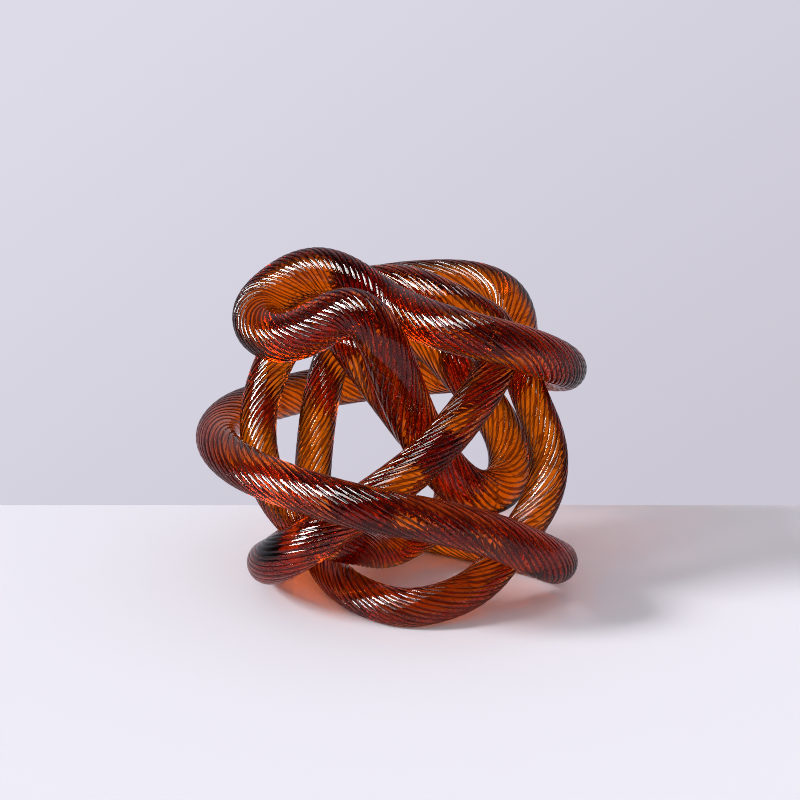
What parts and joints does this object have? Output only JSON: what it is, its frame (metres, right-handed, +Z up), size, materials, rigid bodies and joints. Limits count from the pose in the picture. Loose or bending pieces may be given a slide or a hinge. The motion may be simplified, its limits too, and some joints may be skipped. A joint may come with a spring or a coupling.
{
  "type": "glass knot figurine",
  "caption": "Amber glass knot: a ribbed, twisted glass rope wound into an open ball with see-through gaps, resting on its lowest strands as an ornament or paperweight.",
  "frame": {"origin": "under the middle of the knot, on the surface that it rests on", "axes": "+X to the right as the picture sees it, +Y to the back, +Z up"},
  "size_m": [0.1192, 0.1124, 0.1037],
  "materials": {
    "amber_glass": "clear gloss, fine ribs with a right-hand twist"
  },
  "bodies": {
    "root": {"right_upper_turn": "amber_glass", "back_band": "amber_glass", "left_turn": "amber_glass", "front_band": "amber_glass", "right_lower_turn": "amber_glass", "back_floor_run": "amber_glass", "left_lower_turn": "amber_glass", "front_diagonal": "amber_glass", "shoulder_bend": "amber_glass", "crown_front_run": "amber_glass", "crown_left_arch": "amber_glass", "left_side_run": "amber_glass", "inner_floor_run": "amber_glass", "inner_hook": "amber_glass", "inner_diagonal": "amber_glass", "crown_inner_bend": "amber_glass", "crown_back_run": "amber_glass", "right_side_run": "amber_glass", "floor_bow": "amber_glass", "left_inner_post": "amber_glass", "inner_arch": "amber_glass", "right_inner_run": "amber_glass", "u_bend": "amber_glass", "centre_fall": "amber_glass", "loop_neck": "amber_glass", "loop_front_limb": "amber_glass", "loop_turn": "amber_glass", "loop_back_limb": "amber_glass", "top_band": "amber_glass"}
  },
  "joints": []
}
